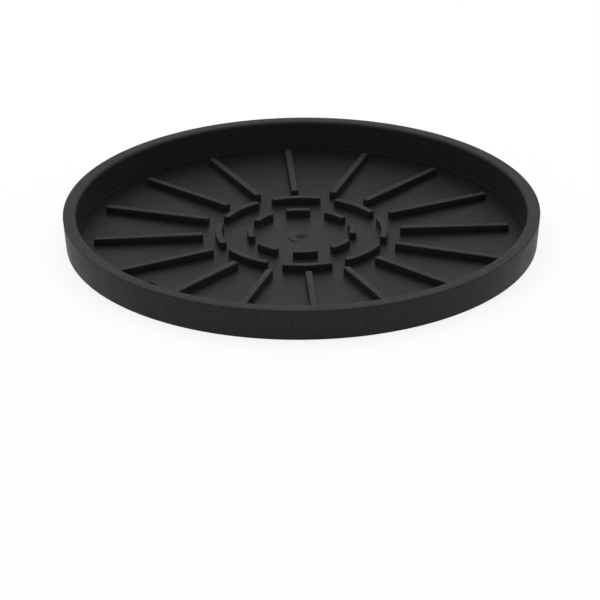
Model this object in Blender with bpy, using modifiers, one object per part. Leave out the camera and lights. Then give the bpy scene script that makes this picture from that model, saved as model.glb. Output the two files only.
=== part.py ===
"""Rubber plant coaster: a round moulded saucer whose floor carries radial ribs and two broken rings."""

import math

import bmesh
import bpy
from mathutils import Matrix, Vector

# Driving dimensions in metres, angles in degrees

# Tray: floor and wall of the saucer
RIM_DIAMETER = 0.3000           # across the outside of the rim
HEIGHT = 0.0209                 # from the table to the rim's inner edge, before that is rounded
RIM_WIDTH = 0.0084              # across the top of the wall
RIM_FALL = 0.0004               # the rim's outer edge is this much lower than its inner one
OUTER_DRAFT = 0.0019            # the outside leans in by this much from rim to base
INNER_DRAFT = 0.0002            # the inside leans in by this much from rim to floor
FLOOR_THICKNESS = 0.0021        # at the wall
FLOOR_CROWN = 0.0010            # the floor is this much higher in the middle, so that water runs outwards
RIM_INNER_EDGE_RADIUS = 0.0020
RIM_OUTER_EDGE_RADIUS = 0.0007
BASE_EDGE_RADIUS = 0.0008
WALL_FOOT_FILLET = 0.0008       # where the floor turns up into the wall
GATE_PAD_DIAMETER = 0.0176      # low round pad that the moulding gate leaves in the middle
GATE_PAD_HEIGHT = 0.0003
GATE_PAD_SLOPE = 0.0005         # width of the pad's sloping edge
GATE_STUB_DIAMETER = 0.0084     # rounded stub on the pad, where the gate was torn off
GATE_STUB_HEIGHT = 0.0004

# Broken rings round the middle
ARC_COUNT = 8                   # curved bars in each ring
INNER_RING_RADIUS = 0.0303      # inner side of the inner ring
INNER_RING_WIDTH = 0.0040
INNER_ARC_SPAN = 27.2
RING_SPACING = 0.0159           # clear floor between the two rings
OUTER_RING_WIDTH = 0.0040
OUTER_ARC_SPAN = 34.2

# Radial ribs
RIB_COUNT = 16
RIB_WIDTH = 0.0047
RIB_TO_RING = 0.0078            # clear floor between the outer ring and the ribs
RIB_TO_WALL = 0.0097            # clear floor between the ribs and the fillet of the wall

# Shared by ribs and rings
BAR_HEIGHT = 0.0039             # above the floor
BAR_DRAFT = 0.0002              # each side leans in by this much towards the top
BAR_EDGE_RADIUS = 0.0004        # rounding of the top edges
SEAT_GAP = 0.0003               # between a bar's foot and the floor under its middle

# Fineness of the round shapes
TURN_STEPS = 96
ROUND_STEPS = 3                 # segments in each rounded corner of the tray's section
STUB_STEPS = 3                  # rings of faces on the rounded gate stub
CROWN_STEPS = 8                 # rings of faces on the crowned floor
EDGE_STEPS = 2                  # segments in each rounded edge of a bar
ARC_STEPS = 8                   # straight pieces in each curved bar
MERGE_DISTANCE = 0.00001

# Black rubber, linear colours
TRAY_COLOUR = (0.017, 0.017, 0.018)
TRAY_ROUGHNESS = 0.62
BAR_COLOUR = (0.019, 0.019, 0.020)
BAR_ROUGHNESS = 0.58

# Sizes that follow from the ones above
rim_outer = RIM_DIAMETER / 2
rim_inner = rim_outer - RIM_WIDTH
wall_foot = rim_inner - INNER_DRAFT
base_outer = rim_outer - OUTER_DRAFT
inner_ring_outer = INNER_RING_RADIUS + INNER_RING_WIDTH
outer_ring_inner = inner_ring_outer + RING_SPACING
outer_ring_outer = outer_ring_inner + OUTER_RING_WIDTH
rib_start = outer_ring_outer + RIB_TO_RING
rib_end = wall_foot - WALL_FOOT_FILLET - RIB_TO_WALL


def floor_height(reach):
    """Height of the crowned floor at a distance from the middle."""
    return FLOOR_THICKNESS + FLOOR_CROWN * (1 - (reach / wall_foot) ** 2)


def clear_scene():
    for old in list(bpy.data.objects):
        bpy.data.objects.remove(old, do_unlink=True)


def make_collection(name):
    collection = bpy.data.collections.new(name)
    bpy.context.scene.collection.children.link(collection)
    return collection


def make_rubber(name, colour, roughness):
    material = bpy.data.materials.new(name)
    material.use_nodes = True
    shader = material.node_tree.nodes["Principled BSDF"]
    shader.inputs["Base Color"].default_value = (*colour, 1.0)
    shader.inputs["Roughness"].default_value = roughness
    shader.inputs["Metallic"].default_value = 0.0
    return material


def add_object(name, mesh, collection, parent):
    obj = bpy.data.objects.new(name, mesh)
    obj.parent = parent
    collection.objects.link(obj)
    return obj


def round_corner(before, corner, after, radius):
    """Points of the arc that rounds a corner between two straight legs."""
    to_before = (before - corner).normalized()
    to_after = (after - corner).normalized()
    half_angle = to_before.angle(to_after) / 2
    centre_dir = (to_before + to_after).normalized()
    centre = corner + centre_dir * (radius / math.sin(half_angle))
    first = corner + to_before * (radius / math.tan(half_angle)) - centre
    last = corner + to_after * (radius / math.tan(half_angle)) - centre
    sweep = first.angle_signed(last)
    points = []
    for step in range(ROUND_STEPS + 1):
        # angle_signed counts clockwise turns as positive
        turn = -sweep * step / ROUND_STEPS
        cos_turn = math.cos(turn)
        sin_turn = math.sin(turn)
        spoke = Vector((
            first.x * cos_turn - first.y * sin_turn,
            first.x * sin_turn + first.y * cos_turn,
        ))
        points.append(centre + spoke)
    return points


def tray_section():
    """Half section of the tray, from the middle of its floor over the rim to the middle of its base."""
    pad_edge = GATE_PAD_DIAMETER / 2
    pad_top = floor_height(pad_edge) + GATE_PAD_HEIGHT
    corners = []
    for step in range(STUB_STEPS + 1):
        share = step / STUB_STEPS
        stub_top = pad_top + GATE_STUB_HEIGHT * (1 - share ** 2)
        corners.append((GATE_STUB_DIAMETER / 2 * share, stub_top, 0.0))
    corners.append((pad_edge - GATE_PAD_SLOPE, pad_top, 0.0))
    for step in range(CROWN_STEPS):
        reach = pad_edge + (wall_foot - pad_edge) * step / CROWN_STEPS
        corners.append((reach, floor_height(reach), 0.0))
    corners += [
        (wall_foot, FLOOR_THICKNESS, WALL_FOOT_FILLET),
        (rim_inner, HEIGHT, RIM_INNER_EDGE_RADIUS),
        (rim_outer, HEIGHT - RIM_FALL, RIM_OUTER_EDGE_RADIUS),
        (base_outer, 0.0, BASE_EDGE_RADIUS),
        (0.0, 0.0, 0.0),
    ]
    places = [Vector((r, z)) for r, z, radius in corners]
    section = []
    for index, (r, z, radius) in enumerate(corners):
        if radius > 0.0:
            section += round_corner(places[index - 1], places[index], places[index + 1], radius)
        else:
            section.append(places[index])
    return section


def make_tray(collection, parent, material):
    """Saucer turned from its half section."""
    mesh = bpy.data.meshes.new("tray")
    bm = bmesh.new()
    verts = [bm.verts.new((point.x, 0.0, point.y)) for point in tray_section()]
    for start, end in zip(verts, verts[1:]):
        bm.edges.new((start, end))
    bm.to_mesh(mesh)
    bm.free()
    mesh.materials.append(material)
    tray = add_object("tray", mesh, collection, parent)
    turn = tray.modifiers.new("turn", "SCREW")
    turn.axis = "Z"
    turn.angle = math.tau
    turn.steps = TURN_STEPS
    turn.render_steps = TURN_STEPS
    turn.use_merge_vertices = True
    turn.merge_threshold = MERGE_DISTANCE
    turn.use_smooth_shade = True
    return tray


def make_bar(name, length, width, pieces, material):
    """Straight moulded bar along X: drafted sides, rounded top edges, foot at the seat gap."""
    height = BAR_HEIGHT - SEAT_GAP
    middle = SEAT_GAP + height / 2
    bm = bmesh.new()
    bmesh.ops.create_cube(bm, size=1.0)
    bmesh.ops.scale(bm, vec=(length, width, height), verts=bm.verts)
    bmesh.ops.translate(bm, vec=(0.0, 0.0, middle), verts=bm.verts)
    for vert in bm.verts:
        if vert.co.z > middle:
            vert.co.x -= math.copysign(BAR_DRAFT, vert.co.x)
            vert.co.y -= math.copysign(BAR_DRAFT, vert.co.y)
    top_edges = [edge for edge in bm.edges if all(vert.co.z > middle for vert in edge.verts)]
    bmesh.ops.bevel(
        bm, geom=top_edges, offset=BAR_EDGE_RADIUS, offset_type="OFFSET", segments=EDGE_STEPS,
        profile=0.5, affect="EDGES", material=-1,
    )
    for cut in range(1, pieces):
        bmesh.ops.bisect_plane(
            bm, geom=bm.verts[:] + bm.edges[:] + bm.faces[:],
            plane_co=(length * (cut / pieces - 0.5), 0.0, 0.0), plane_no=(1.0, 0.0, 0.0),
        )
    mesh = bpy.data.meshes.new(name)
    bm.to_mesh(mesh)
    bm.free()
    mesh.materials.append(material)
    return mesh


def bend_bar(mesh, radius):
    """Bend a bar along X into an arc about the Z axis, its middle line at the given radius on +Y."""
    for vert in mesh.vertices:
        angle = vert.co.x / radius
        reach = radius + vert.co.y
        vert.co.x = reach * math.sin(angle)
        vert.co.y = reach * math.cos(angle)
    mesh.update()


def lay_round(mesh, base_name, count, digits, collection, parent):
    """Copies of one bar at even angles round the Z axis, the first at +Y and the rest clockwise."""
    for index in range(count):
        name = f"{base_name}_{index + 1:0{digits}d}"
        bar = add_object(name, mesh, collection, parent)
        bar.rotation_euler = (0.0, 0.0, -math.tau * index / count)


def make_ribs(collection, parent, material):
    """Straight bars that run outwards down the crown, clear of the outer ring and of the wall."""
    length = rib_end - rib_start
    middle = (rib_start + rib_end) / 2
    mesh = make_bar("rib", length, RIB_WIDTH, 1, material)
    fall = math.atan2(floor_height(rib_start) - floor_height(rib_end), length)
    on_floor = Matrix.Translation((middle, 0.0, floor_height(middle))) @ Matrix.Rotation(fall, 4, "Y")
    mesh.transform(Matrix.Rotation(math.pi / 2, 4, "Z") @ on_floor)
    lay_round(mesh, "rib", RIB_COUNT, 2, collection, parent)


def make_ring(base_name, inner_radius, width, span, collection, parent, material):
    """Broken ring of curved bars, each in line with every other rib."""
    middle = inner_radius + width / 2
    mesh = make_bar(base_name, middle * math.radians(span), width, ARC_STEPS, material)
    bend_bar(mesh, middle)
    mesh.transform(Matrix.Translation((0.0, 0.0, floor_height(inner_radius))))
    lay_round(mesh, base_name, ARC_COUNT, 1, collection, parent)


def main():
    clear_scene()
    coaster = make_collection("rubber_plant_coaster")
    frame = bpy.data.objects.new("coaster_frame", None)
    coaster.objects.link(frame)
    tray_rubber = make_rubber("tray_rubber", TRAY_COLOUR, TRAY_ROUGHNESS)
    rib_rubber = make_rubber("rib_rubber", BAR_COLOUR, BAR_ROUGHNESS)
    ring_rubber = make_rubber("ring_rubber", BAR_COLOUR, BAR_ROUGHNESS)
    make_tray(coaster, frame, tray_rubber)
    make_ribs(coaster, frame, rib_rubber)
    make_ring(
        "outer_ring_arc", outer_ring_inner, OUTER_RING_WIDTH, OUTER_ARC_SPAN,
        coaster, frame, ring_rubber,
    )
    make_ring(
        "inner_ring_arc", INNER_RING_RADIUS, INNER_RING_WIDTH, INNER_ARC_SPAN,
        coaster, frame, ring_rubber,
    )
    bpy.context.view_layer.update()


main()
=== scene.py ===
import math

import bmesh
import bpy
from mathutils import Matrix, Vector


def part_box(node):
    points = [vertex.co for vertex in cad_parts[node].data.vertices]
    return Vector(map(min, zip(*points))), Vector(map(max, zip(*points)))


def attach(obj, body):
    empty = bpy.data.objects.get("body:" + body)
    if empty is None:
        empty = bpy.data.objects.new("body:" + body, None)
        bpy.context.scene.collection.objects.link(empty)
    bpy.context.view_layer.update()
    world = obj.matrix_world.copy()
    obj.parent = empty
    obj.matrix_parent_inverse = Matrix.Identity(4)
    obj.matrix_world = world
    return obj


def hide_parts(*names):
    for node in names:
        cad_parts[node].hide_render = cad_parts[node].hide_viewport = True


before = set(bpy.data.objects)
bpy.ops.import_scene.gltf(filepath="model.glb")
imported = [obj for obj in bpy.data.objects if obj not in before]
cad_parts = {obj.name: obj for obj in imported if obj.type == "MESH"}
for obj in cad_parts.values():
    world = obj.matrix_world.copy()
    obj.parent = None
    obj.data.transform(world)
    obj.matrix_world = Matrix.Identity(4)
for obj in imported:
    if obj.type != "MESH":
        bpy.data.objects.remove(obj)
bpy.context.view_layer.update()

mm = 0.001
scene = bpy.context.scene


# Colours and shader nodes

def hexToLinear(hexCode):
    linear = []
    for start in (1, 3, 5):
        share = int(hexCode[start:start + 2], 16) / 255
        linear.append(share / 12.92 if share <= 0.04045 else ((share + 0.055) / 1.055) ** 2.4)
    return (*linear, 1.0)


def addNode(tree, kind, settings=None, links=None):
    node = tree.nodes.new(kind)
    for key, value in (settings or {}).items():
        if isinstance(key, int) or key in node.inputs:
            node.inputs[key].default_value = value
        else:
            setattr(node, key, value)
    for key, source in (links or {}).items():
        tree.links.new(source, node.inputs[key])
    return node


# Moulded black rubber, as it leaves the mould: near black from above, greyed by its sheen at a low angle.
# The wall and rim have the dull grain of a blasted mould, and the bars shine more. The floor has a smoother,
# half-matt skin, in which the bars and the wall are mirrored softly. All three are one rubber: the colour of
# the wall is painted paler and that of the bars and the floor darker, as painted light and shade.

rubberLook = {
    "wall": {
        "colour": ("#1a1a1b", "#2b2b2c"),   # hollows and tops of the grain
        "roughness": (0.46, 0.56),  # smoothest and dullest patches
        "specular": 0.145,
        "ior": 1.5,
        "patchSize": 9.0,           # mm across a patch of even gloss
        "grainSize": 1.2,           # mm, coarser than the real grain so that it shows
        "grainDepth": 0.22,         # mm
    },
    "bar": {
        "colour": ("#131314", "#252526"),
        "roughness": (0.46, 0.56),
        "specular": 0.185,
        "ior": 1.5,
        "patchSize": 9.0,
        "grainSize": 1.2,
        "grainDepth": 0.22,
    },
    "floor": {
        "colour": ("#101011", "#1e1e1f"),
        "roughness": (0.35, 0.41),
        "specular": 0.099,
        "ior": 1.5,
        "patchSize": 14.0,
        "grainSize": 1.2,
        "grainDepth": 0.11,
    },
}

# The middle of the floor: paler towards the middle, and the gate's scar, too rough to shine

floorLook = {
    "paleMiddleColour": "#232324",
    "paleMiddleReach": 75.0,             # mm, where the paler middle has faded out
    "scarReach": (3.0, 5.0),        # mm, where the torn skin goes over into the floor
    "scarWander": 1.6,              # mm, how far its edge strays
    "scarRoughness": 0.78,
}

noiseLook = {
    "patches": {"Detail": 3.0, "Roughness": 0.55},
    "grain": {"Detail": 2.0, "Roughness": 0.6},
    "span": {"From Min": 0.3, "From Max": 0.7},     # nearly all of a noise's values lie in here
}


def mouldedRubber(name, look, middle=None):
    material = bpy.data.materials.new(name)
    material.use_nodes = True
    tree = material.node_tree
    shader = tree.nodes["Principled BSDF"]
    shader.inputs["IOR"].default_value = look["ior"]
    shader.inputs["Specular IOR Level"].default_value = look["specular"]
    place = addNode(tree, "ShaderNodeTexCoord").outputs["Object"]
    patches = addNode(
        tree, "ShaderNodeTexNoise", {"Scale": 1 / (look["patchSize"] * mm), **noiseLook["patches"]},
        {"Vector": place},
    )
    grain = addNode(
        tree, "ShaderNodeTexNoise", {"Scale": 1 / (look["grainSize"] * mm), **noiseLook["grain"]},
        {"Vector": place},
    )
    speckle = addNode(tree, "ShaderNodeMapRange", noiseLook["span"], {"Value": grain.outputs["Fac"]})
    colour = addNode(
        tree, "ShaderNodeMix",
        {"data_type": "RGBA", 6: hexToLinear(look["colour"][0]), 7: hexToLinear(look["colour"][1])},
        {0: speckle.outputs["Result"]},
    ).outputs[2]
    gloss = addNode(
        tree, "ShaderNodeMapRange",
        {**noiseLook["span"], "To Min": look["roughness"][0], "To Max": look["roughness"][1]},
        {"Value": patches.outputs["Fac"]},
    ).outputs["Result"]
    if middle:
        flat = addNode(tree, "ShaderNodeVectorMath", {"operation": "MULTIPLY", 1: (1, 1, 0)}, {0: place})
        reach = addNode(tree, "ShaderNodeVectorMath", {"operation": "LENGTH"}, {0: flat.outputs["Vector"]})
        paleShare = addNode(
            tree, "ShaderNodeMapRange",
            {"From Min": 0.0, "From Max": middle["paleMiddleReach"] * mm, "To Min": 1.0, "To Max": 0.0},
            {"Value": reach.outputs["Value"]},
        )
        # The floor's colour turns paler towards its middle
        colour = addNode(
            tree, "ShaderNodeMix", {"data_type": "RGBA", 7: hexToLinear(middle["paleMiddleColour"])},
            {0: paleShare.outputs["Result"], 6: colour},
        ).outputs[2]
        strayed = addNode(
            tree, "ShaderNodeMath", {"operation": "MULTIPLY_ADD", 1: middle["scarWander"] * mm},
            {0: grain.outputs["Fac"], 2: reach.outputs["Value"]},
        )
        scarEdge = [(edge + middle["scarWander"] / 2) * mm for edge in middle["scarReach"]]
        scar = addNode(
            tree, "ShaderNodeMapRange",
            {"From Min": scarEdge[0], "From Max": scarEdge[1], "To Min": 1.0, "To Max": 0.0},
            {"Value": strayed.outputs["Value"]},
        )
        gloss = addNode(
            tree, "ShaderNodeMix", {"data_type": "FLOAT", 3: middle["scarRoughness"]},
            {0: scar.outputs["Result"], 2: gloss},
        ).outputs[0]
    tree.links.new(colour, shader.inputs["Base Color"])
    tree.links.new(gloss, shader.inputs["Roughness"])
    bump = addNode(
        tree, "ShaderNodeBump",
        {"Strength": 1.0, "Distance": look["grainDepth"] * mm},
        {"Height": grain.outputs["Fac"]},
    )
    tree.links.new(bump.outputs["Normal"], shader.inputs["Normal"])
    return material


# Each piece is merged and smoothed, rides on the body and stands for its CAD nodes

pieceFinish = {
    "mergeDistance": 0.001,         # mm
    "sharpAngle": 40.0,             # degrees, an edge that turns more than this stays sharp
}


def finishPiece(name, bm, materials, nodes):
    bmesh.ops.remove_doubles(bm, verts=bm.verts, dist=pieceFinish["mergeDistance"] * mm)
    bmesh.ops.recalc_face_normals(bm, faces=bm.faces)
    mesh = bpy.data.meshes.new(name)
    bm.to_mesh(mesh)
    bm.free()
    mesh.shade_smooth()
    mesh.set_sharp_from_angle(angle=math.radians(pieceFinish["sharpAngle"]))
    for material in materials:
        mesh.materials.append(material)
    piece = bpy.data.objects.new(name, mesh)
    scene.collection.objects.link(piece)
    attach(piece, "root")
    if nodes:
        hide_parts(*nodes)


# Tray: one turned shell with a drafted wall, eased edges and the mark that the moulding gate leaves. The floor
# is flatter than the CAD's, because the real gate mark and the feet of the bars are seen lower than there.

traySizes = {
    "outerRadius": 150.0,
    "height": 20.9,             # to the rim's inner edge, before it is rounded
    "rimWidth": 8.4,
    "rimFall": 0.4,             # the rim's outer edge is this much lower than its inner one
    "outerDraft": 1.9,
    "innerDraft": 0.2,
    "floorAtWall": 2.1,
    "crown": 0.15,              # the floor is this much higher in the middle
    "crownSteps": 24,           # rings of points on the floor
    "rimInnerEdge": 2.0,
    "rimOuterEdge": 0.7,
    "baseEdge": 0.8,
    "wallFoot": 0.3,
    "padRadius": 8.8,           # ring that the gate leaves in the middle of the floor
    "padRise": 0.5,
    "padLift": 207.0,           # degrees, the side where its edge stands up
    "padCurl": 0.45,            # cosine of the angle on both sides where the edge lies down again
    "padPower": 3,              # the higher, the nearer to its edge the pad turns up
    "padBend": 6.6,             # one more ring of points, for that turn
    "padEdge": 0.25,
    "scarRadius": 4.2,
    "scarRise": 0.35,
    "scarSteps": 5,
    "roundSegments": 6,
    "turnSteps": 384,
}


def crownShare(reach):          # one in the middle, nothing at the wall's foot
    foot = traySizes["outerRadius"] - traySizes["rimWidth"] - traySizes["innerDraft"]
    return 1 - (reach / foot) ** 2


def floorHeight(reach):
    return traySizes["floorAtWall"] + traySizes["crown"] * crownShare(reach)


def makeTray(wallRubber, floorRubber):
    size = traySizes
    top = size["height"]
    outer = size["outerRadius"]
    inner = outer - size["rimWidth"]
    floor = size["floorAtWall"]
    pad = size["padRadius"]
    scar = size["scarRadius"]
    foot = inner - size["innerDraft"]
    floorReach = foot - size["wallFoot"]    # where the fillet at the wall's foot begins
    reaches = [scar * step / size["scarSteps"] for step in range(size["scarSteps"] + 1)]
    reaches += [scar + size["padEdge"], size["padBend"], pad - size["padEdge"], pad]
    crownStart = pad + size["padEdge"]      # a point close by on each side keeps an edge crisp
    crownEnd = floorReach - size["padEdge"]
    for step in range(size["crownSteps"] + 1):
        reaches.append(crownStart + (crownEnd - crownStart) * step / size["crownSteps"])
    corners = [(reach, floorHeight(reach), 0.0) for reach in reaches]
    corners += [                # radius, height and rounding of each corner of the half section
        (foot, floor, size["wallFoot"]),
        (inner, top, size["rimInnerEdge"]),
        (outer, top - size["rimFall"], size["rimOuterEdge"]),
        (outer - size["outerDraft"], 0.0, size["baseEdge"]),
        (0.0, 0.0, 0.0),
    ]
    bm = bmesh.new()
    verts = [bm.verts.new((radius * mm, 0.0, height * mm)) for radius, height, _ in corners]
    for start, end in zip(verts, verts[1:]):
        bm.edges.new((start, end))
    for vert, (_, _, rounding) in zip(verts, corners):
        if rounding:
            bmesh.ops.bevel(
                bm, geom=[vert], offset=rounding * mm, offset_type="OFFSET",
                segments=size["roundSegments"], profile=0.5, affect="VERTICES", material=-1,
            )
    bmesh.ops.spin(
        bm, geom=bm.verts[:] + bm.edges[:], axis=(0, 0, 1), cent=(0, 0, 0),
        angle=math.tau, steps=size["turnSteps"], use_merge=True,
    )
    liftAngle = math.radians(size["padLift"])
    liftWay = Vector((math.cos(liftAngle), math.sin(liftAngle)))
    for vert in bm.verts:       # the pad's edge curls up on one side, and the gate's scar is a low dome
        reach = vert.co.xy.length / mm
        if reach < pad - size["padEdge"] / 2 and vert.co.z > floor * mm / 2:
            facing = vert.co.xy.dot(liftWay) / mm / reach if reach else 0.0
            curl = max(0.0, (facing - size["padCurl"]) / (1 - size["padCurl"]))
            vert.co.z += size["padRise"] * curl * (reach / pad) ** size["padPower"] * mm
            if reach < scar:
                vert.co.z += size["scarRise"] * math.cos(reach / scar * math.pi / 2) ** 2 * mm
    for face in bm.faces:       # the floor takes the second material
        middle = face.calc_center_median()
        if middle.xy.length < floorReach * mm and middle.z > floor * mm / 2:
            face.material_index = 1
    finishPiece("tray_moulding", bm, [wallRubber, floorRubber], ["tray"])


# Flash: a thin curl of rubber that the mould's parting line left on the inner edge of the rim

flashSizes = {
    "reach": 142.0,             # mm from the middle
    "angle": 226.2,             # degrees
    "length": 12.5,
    "thick": 0.5,
    "height": 1.25,
    "sink": 0.3,                # its root is this far inside the rim
    "thinning": 0.5,            # share of the thickness that is lost towards the top
    "tip": 0.02,                # share of the height and thickness that is left at both ends
    "stations": 16,
}


def makeFlash(material):
    size = flashSizes
    rounding = traySizes["rimInnerEdge"]
    dip = traySizes["outerRadius"] - traySizes["rimWidth"] + rounding - size["reach"]
    rimHeight = traySizes["height"] - rounding + math.sqrt(rounding ** 2 - dip ** 2)
    root = rimHeight - size["sink"]
    bm = bmesh.new()
    bmesh.ops.create_cube(bm, size=1.0)
    along = [e for e in bm.edges if e.verts[0].co.x * e.verts[1].co.x < 0]
    bmesh.ops.subdivide_edges(bm, edges=along, cuts=size["stations"] - 1, use_grid_fill=True)
    middle = math.radians(size["angle"])
    for vert in bm.verts:
        taper = math.sqrt(max(0.0, 1 - (2 * vert.co.x) ** 2)) + size["tip"]   # drawn out at the ends
        angle = middle + vert.co.x * size["length"] / size["reach"]
        up = vert.co.z + 0.5    # nothing at the root, one at the top
        thick = size["thick"] * (1 - size["thinning"] * up)
        reach = (size["reach"] + vert.co.y * thick * taper) * mm
        vert.co.x = reach * math.cos(angle)
        vert.co.y = reach * math.sin(angle)
        vert.co.z = (root + up * size["height"] * taper) * mm
    finishPiece("rim_flash", bm, [material], [])


# Ribs and ring arcs: moulded bars with drafted sides and rounded top edges. Their tops fall a little from the
# middle to the wall, as the CAD's do, so the arcs stand higher above the flat floor than the ribs.

barSizes = {
    "height": 3.9,              # of a bar at the wall, above the tray's floor
    "topRise": 1.0,             # a bar in the middle would reach this much higher
    "draft": 0.2,
    "cornerEdge": 0.8,
    "edgeSegments": 4,
    "sink": 0.1,                # the feet go at least this far into the floor, so that no line shows
}


def topHeight(reach):
    return traySizes["floorAtWall"] + barSizes["height"] + barSizes["topRise"] * crownShare(reach)


def barMesh(length, width, topEdge, stations):
    size = barSizes
    depth = topHeight(0) - floorHeight(0) + size["sink"]
    bm = bmesh.new()
    bmesh.ops.create_cube(bm, size=1.0)
    bmesh.ops.scale(bm, vec=(length * mm, width * mm, depth * mm), verts=bm.verts)
    middle = -depth * mm / 2    # the top is at zero
    bmesh.ops.translate(bm, vec=(0, 0, middle), verts=bm.verts)
    for vert in bm.verts:
        if vert.co.z > middle:
            vert.co.x -= math.copysign(size["draft"] * mm, vert.co.x)
            vert.co.y -= math.copysign(size["draft"] * mm, vert.co.y)
    upright = [e for e in bm.edges if (e.verts[0].co.z > middle) != (e.verts[1].co.z > middle)]
    bmesh.ops.bevel(
        bm, geom=upright, offset=size["cornerEdge"] * mm, offset_type="OFFSET",
        segments=size["edgeSegments"], profile=0.5, affect="EDGES", material=-1,
    )
    topEdges = [e for e in bm.edges if all(v.co.z > middle for v in e.verts)]
    bmesh.ops.bevel(
        bm, geom=topEdges, offset=topEdge * mm, offset_type="OFFSET",
        segments=size["edgeSegments"], profile=0.5, affect="EDGES", material=-1,
    )
    for cut in range(1, stations):
        bmesh.ops.bisect_plane(
            bm, geom=bm.verts[:] + bm.edges[:] + bm.faces[:],
            plane_co=(length * mm * (cut / stations - 0.5), 0, 0), plane_no=(1, 0, 0),
        )
    return bm


ribSizes = {
    "topEdge": 0.6,
    "stations": 1,
}


def makeRibs(material):
    names = sorted(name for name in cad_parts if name.startswith("rib_"))
    low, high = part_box(names[0])    # the first rib runs along +Y
    start, end = low.y / mm, high.y / mm
    middle = (start + end) / 2
    width = (high.x - low.x) / mm
    fall = math.atan2(topHeight(start) - topHeight(end), end - start)
    raised = Matrix.Translation((middle * mm, 0, topHeight(middle) * mm)) @ Matrix.Rotation(fall, 4, "Y")
    for index, name in enumerate(names):
        bm = barMesh(end - start, width, ribSizes["topEdge"], ribSizes["stations"])
        turn = Matrix.Rotation(math.pi / 2 - math.tau * index / len(names), 4, "Z")
        bmesh.ops.transform(bm, matrix=turn @ raised, verts=bm.verts)
        finishPiece(name + "_moulded", bm, [material], [name])


ringSizes = {
    "solidWidth": 4.0,          # of the CAD's arcs
    "width": 4.4,
    "topEdge": 0.5,
    "stations": 16,
}


def makeRing(prefix, material):
    size = ringSizes
    names = sorted(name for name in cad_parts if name.startswith(prefix))
    low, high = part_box(names[0])    # the first arc is centred on +Y
    halfSpan = math.asin((high.x - low.x) / 2 / high.y)
    middle = high.y - size["solidWidth"] * mm / 2
    length = 2 * halfSpan * middle / mm
    raised = Matrix.Translation((0, 0, high.z))
    for index, name in enumerate(names):
        bm = barMesh(length, size["width"], size["topEdge"], size["stations"])
        for vert in bm.verts:
            angle = vert.co.x / middle
            reach = middle + vert.co.y
            vert.co.x = reach * math.sin(angle)
            vert.co.y = reach * math.cos(angle)
        turn = Matrix.Rotation(-math.tau * index / len(names), 4, "Z")
        bmesh.ops.transform(bm, matrix=turn @ raised, verts=bm.verts)
        finishPiece(name + "_moulded", bm, [material], [name])


# Floor: plain white card that keeps the object's shadow

floorCard = {
    "colour": "#ffffff",
    "size": 12.0,               # metres
    "drop": 0.02,               # mm below the tray, so that the two faces don't flicker
    "glow": 0.84,               # share of plain white that the eye and the gloss see
}


def makeFloor():
    material = bpy.data.materials.new("pale_studio_floor")
    material.use_nodes = True
    tree = material.node_tree
    shader = tree.nodes["Principled BSDF"]
    shader.inputs["Base Color"].default_value = hexToLinear(floorCard["colour"])
    shader.inputs["Roughness"].default_value = 1.0
    shader.inputs["Specular IOR Level"].default_value = 0.0
    glow = addNode(tree, "ShaderNodeEmission", {"Color": (1, 1, 1, 1), "Strength": 1.0})
    rays = addNode(tree, "ShaderNodeLightPath")
    seen = addNode(
        tree, "ShaderNodeMath", {"operation": "MAXIMUM"},
        {0: rays.outputs["Is Camera Ray"], 1: rays.outputs["Is Glossy Ray"]},
    )
    seen = addNode(
        tree, "ShaderNodeMath", {"operation": "MAXIMUM"},
        {0: seen.outputs[0], 1: rays.outputs["Is Transmission Ray"]},
    )
    share = addNode(
        tree, "ShaderNodeMath", {"operation": "MULTIPLY", 1: floorCard["glow"]}, {0: seen.outputs[0]},
    )
    mix = addNode(
        tree, "ShaderNodeMixShader", {},
        {0: share.outputs[0], 1: shader.outputs["BSDF"], 2: glow.outputs["Emission"]},
    )
    tree.links.new(mix.outputs["Shader"], tree.nodes["Material Output"].inputs["Surface"])
    bm = bmesh.new()
    bmesh.ops.create_grid(bm, x_segments=1, y_segments=1, size=floorCard["size"] / 2)
    mesh = bpy.data.meshes.new("studio_floor")
    bm.to_mesh(mesh)
    bm.free()
    mesh.materials.append(material)
    floor = bpy.data.objects.new("studio_floor", mesh)
    floor.location.z = -floorCard["drop"] * mm
    scene.collection.objects.link(floor)


# Light: an even surround, weaker on the camera's side, and one large softbox overhead

softLight = {
    "front": 0.42,              # strength of the surround on the camera's side
    "back": 0.78,               # and behind the object
    "lampPlace": (0.0, 0.7, 2.15),  # metres
    "lampAim": (0.0, 0.0, 0.0),
    "lampWidth": 3.2,
    "lampPower": 35.0,
}


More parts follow.
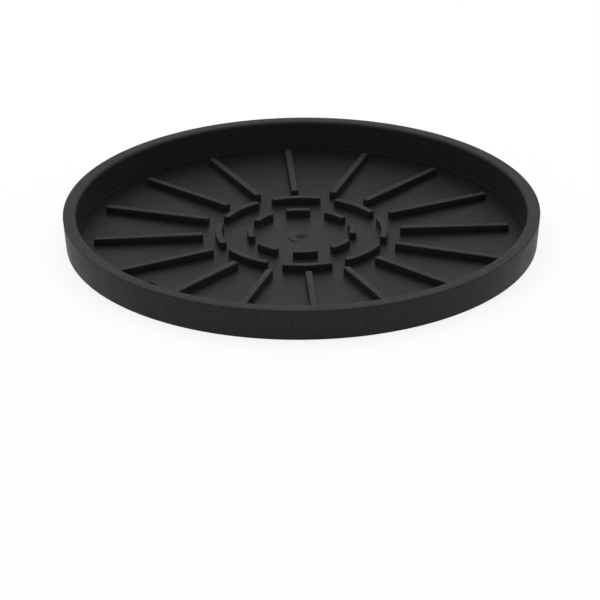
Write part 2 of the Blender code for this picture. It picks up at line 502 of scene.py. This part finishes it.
def makeLight():
    light = softLight
    world = bpy.data.worlds.new("soft_sky")
    world.use_nodes = True
    tree = world.node_tree
    sky = tree.nodes["Background"]
    sky.inputs["Color"].default_value = (1, 1, 1, 1)
    way = addNode(tree, "ShaderNodeTexCoord").outputs["Generated"]
    way = addNode(tree, "ShaderNodeSeparateXYZ", {}, {"Vector": way})
    strength = addNode(
        tree, "ShaderNodeMapRange",
        {"From Min": -1.0, "From Max": 1.0, "To Min": light["front"], "To Max": light["back"]},
        {"Value": way.outputs["Y"]},
    )
    tree.links.new(strength.outputs["Result"], sky.inputs["Strength"])
    scene.world = world
    data = bpy.data.lights.new("softbox", "AREA")
    data.shape = "SQUARE"
    data.size = light["lampWidth"]
    data.energy = light["lampPower"]
    lamp = bpy.data.objects.new("softbox", data)
    lamp.location = light["lampPlace"]
    toAim = Vector(light["lampAim"]) - Vector(light["lampPlace"])
    lamp.rotation_mode = "QUATERNION"
    lamp.rotation_quaternion = toAim.to_track_quat("-Z", "Y")
    scene.collection.objects.link(lamp)


# Camera: a long lens, at the photograph's angle

cameraView = {
    "distance": 3.2844,         # metres from the middle of the base
    "elevation": 24.213,        # degrees
    "azimuth": -3.794,
    "roll": 0.458,
    "focalPixels": 5214.0,
    "framePixels": 600,
    "basePixel": (301.7, 239.82),   # where the middle of the base lies in the picture
    "sensorWidth": 36.0,        # mm
}


def makeCamera():
    view = cameraView
    elevation = math.radians(view["elevation"])
    azimuth = math.radians(view["azimuth"])
    back = Vector((
        math.sin(azimuth) * math.cos(elevation),
        -math.cos(azimuth) * math.cos(elevation),
        math.sin(elevation),
    ))
    data = bpy.data.cameras.new("photo_camera")
    data.sensor_width = view["sensorWidth"]
    data.lens = view["focalPixels"] * view["sensorWidth"] / view["framePixels"]
    camera = bpy.data.objects.new("photo_camera", data)
    half = view["framePixels"] / 2
    offAxis = Vector((view["basePixel"][0] - half, half - view["basePixel"][1], -view["focalPixels"]))
    look = (-back).to_track_quat("-Z", "Y").to_matrix()
    tilt = offAxis.rotation_difference(Vector((0, 0, -1))).to_matrix()
    turn = look @ Matrix.Rotation(-math.radians(view["roll"]), 3, "Z") @ tilt
    camera.matrix_world = Matrix.Translation(back * view["distance"]) @ turn.to_4x4()
    scene.collection.objects.link(camera)
    scene.camera = camera


# One rubber, its colour painted paler on the wall and darker on the bars and floor, as painted light and shade
wallRubber = mouldedRubber("moulded_black_rubber_wall", rubberLook["wall"])
barRubber = mouldedRubber("moulded_black_rubber_bar", rubberLook["bar"])
floorRubber = mouldedRubber("moulded_black_rubber_floor", rubberLook["floor"], floorLook)
makeTray(wallRubber, floorRubber)
makeFlash(wallRubber)
print("tray made")
makeRibs(barRubber)
print("ribs made")
makeRing("outer_ring_arc", barRubber)
makeRing("inner_ring_arc", barRubber)
print("rings made")
makeFloor()
makeLight()
makeCamera()
scene.view_settings.view_transform = "Standard"
print("floor, light and camera ready")
